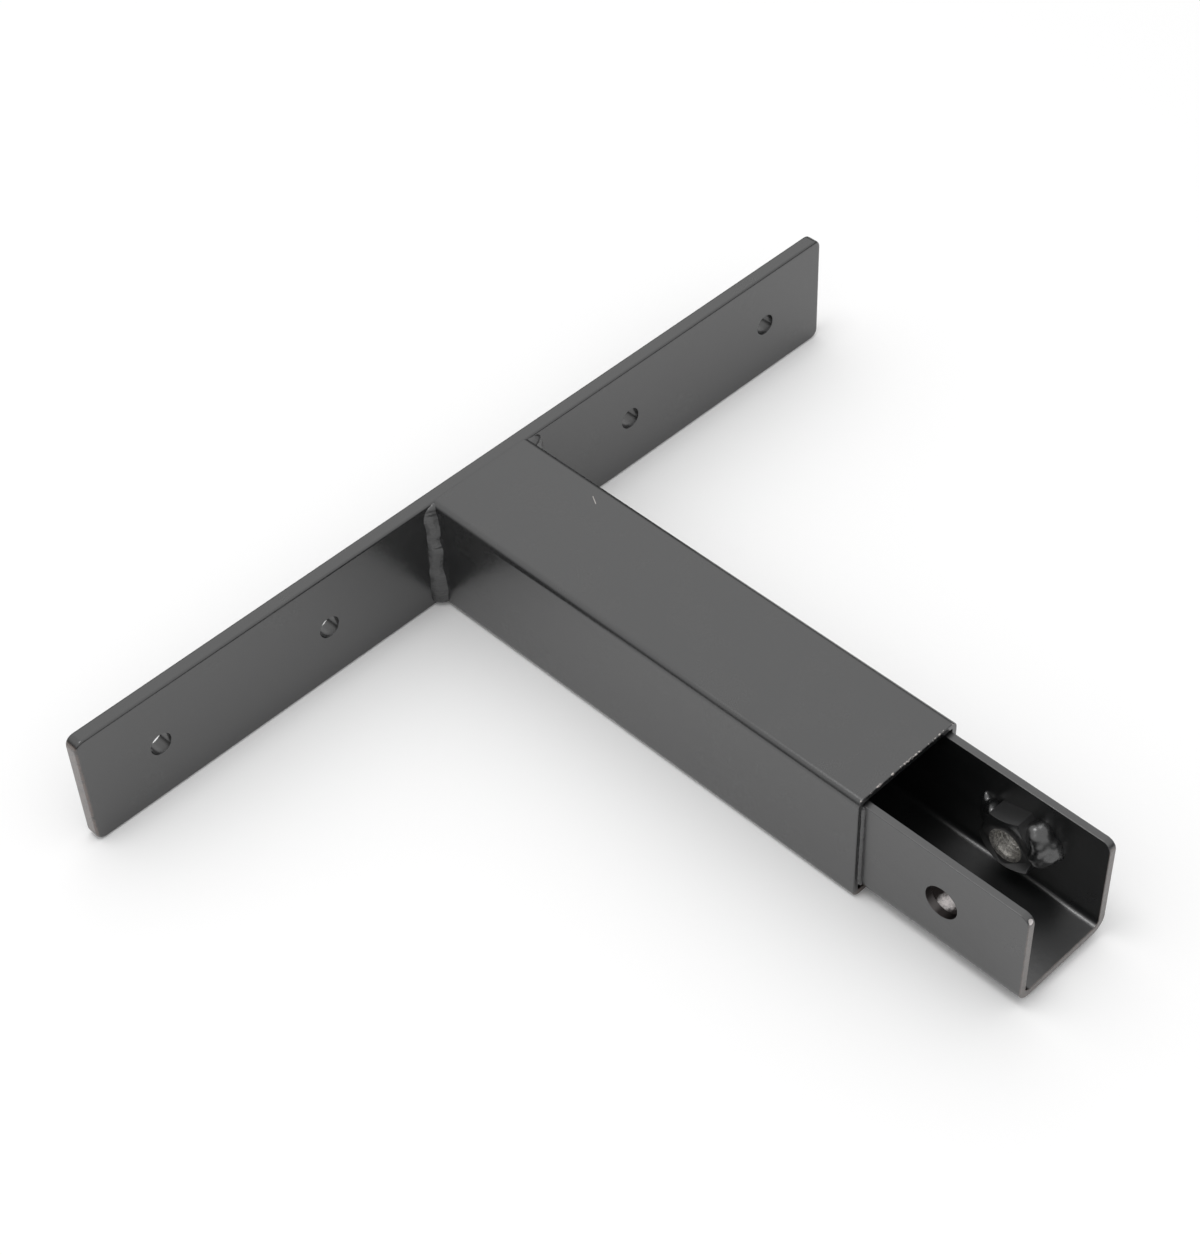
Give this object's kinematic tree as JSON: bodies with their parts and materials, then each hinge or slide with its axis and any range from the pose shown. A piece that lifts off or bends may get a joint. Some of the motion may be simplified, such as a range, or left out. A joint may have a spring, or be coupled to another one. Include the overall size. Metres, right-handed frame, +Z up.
{
  "type": "display shelf bracket",
  "caption": "Welded black steel bracket: a drilled wall plate, a square tube arm and a folded open channel at its end with a cross hole and a weld nut.",
  "frame": {"origin": "centre of the wall plate's back face, where the bracket meets the wall", "axes": "+X along the wall plate, +Y into the wall, +Z up; the arm points along -Y"},
  "size_m": [0.3, 0.225, 0.04],
  "materials": {
    "plate_coat": "black satin powder coat on flat bar",
    "tube_coat": "black satin powder coat on drawn square tube",
    "channel_coat": "black satin powder coat on folded sheet",
    "nut_coat": "thin black powder coat over zinc, bare in the threaded bore",
    "weld_coat": "black powder coat over rough weld metal"
  },
  "bodies": {
    "root": {"wall_plate": "plate_coat", "arm_tube": "tube_coat", "end_channel": "channel_coat", "weld_nut": "nut_coat", "plate_weld_left": "weld_coat", "plate_weld_right": "weld_coat", "mouth_weld": "weld_coat", "nut_tack_inner": "weld_coat", "nut_tack_outer": "weld_coat"}
  },
  "joints": []
}
